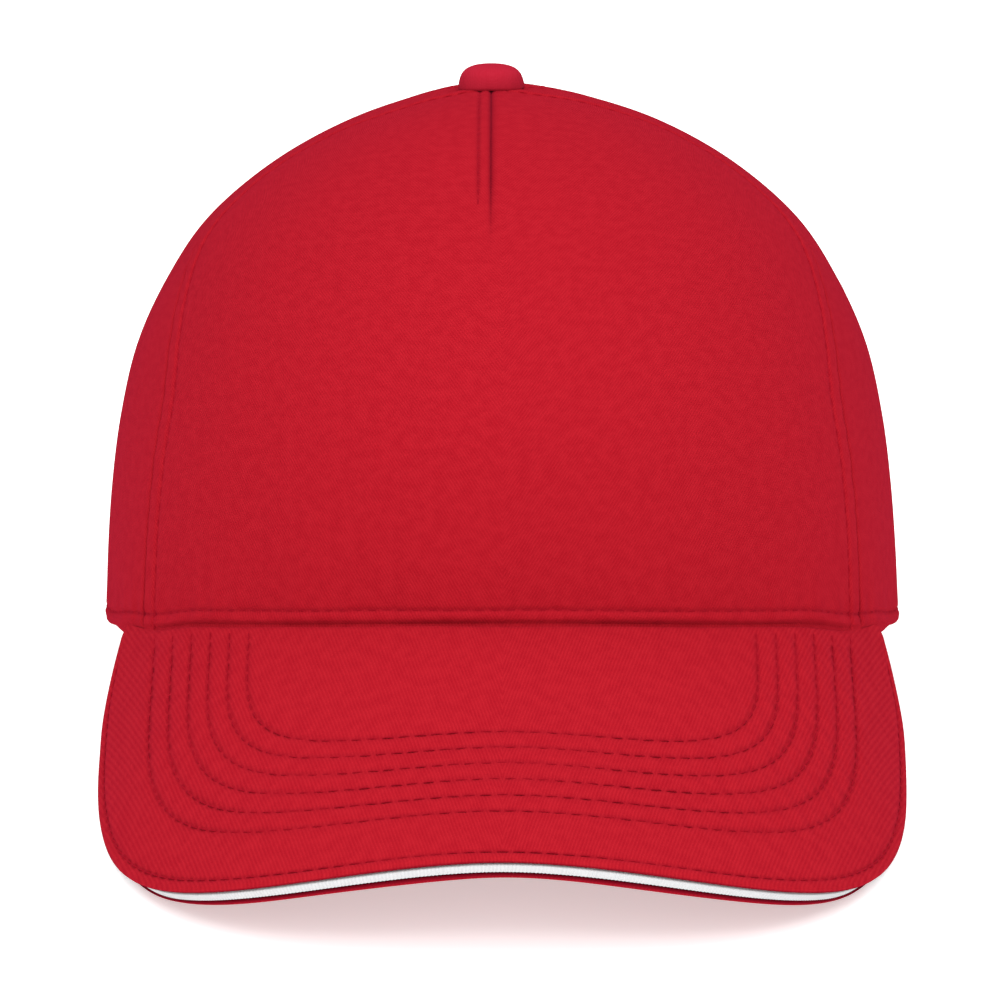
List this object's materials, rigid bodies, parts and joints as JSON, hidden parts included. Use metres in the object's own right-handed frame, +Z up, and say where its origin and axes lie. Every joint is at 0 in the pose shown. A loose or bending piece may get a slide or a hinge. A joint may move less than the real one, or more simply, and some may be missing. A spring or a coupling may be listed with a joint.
{
  "type": "five-panel cap",
  "caption": "Five-panel cotton twill cap with a curved peak, a contrast layer along the lip, a covered button, a sweatband and a rear closure strap.",
  "frame": {"origin": "middle of the bottom of the cap's box, on the surface that the cap stands on", "axes": "+Z up from that surface, -Y toward the front of the peak, +X toward the right side in front view"},
  "size_m": [0.177, 0.2652, 0.1376],
  "materials": {
    "crown_twill": "red cotton twill, matt",
    "button_twill": "red cotton twill drawn over a dome",
    "sweatband_twill": "red brushed cotton, folded and stitched",
    "strap_tape": "red cotton strap with hook-and-loop facing inside",
    "peak_twill": "red cotton twill with rows of topstitching",
    "trim_ribbon": "white ribbed ribbon",
    "underside_twill": "red cotton twill"
  },
  "bodies": {
    "root": {"front_panel": "crown_twill", "side_panel_left": "crown_twill", "side_panel_right": "crown_twill", "back_panel_left": "crown_twill", "back_panel_right": "crown_twill", "top_button": "button_twill", "sweatband": "sweatband_twill", "closure_strap": "strap_tape", "peak_top": "peak_twill", "peak_trim": "trim_ribbon", "peak_underside": "underside_twill"}
  },
  "joints": []
}
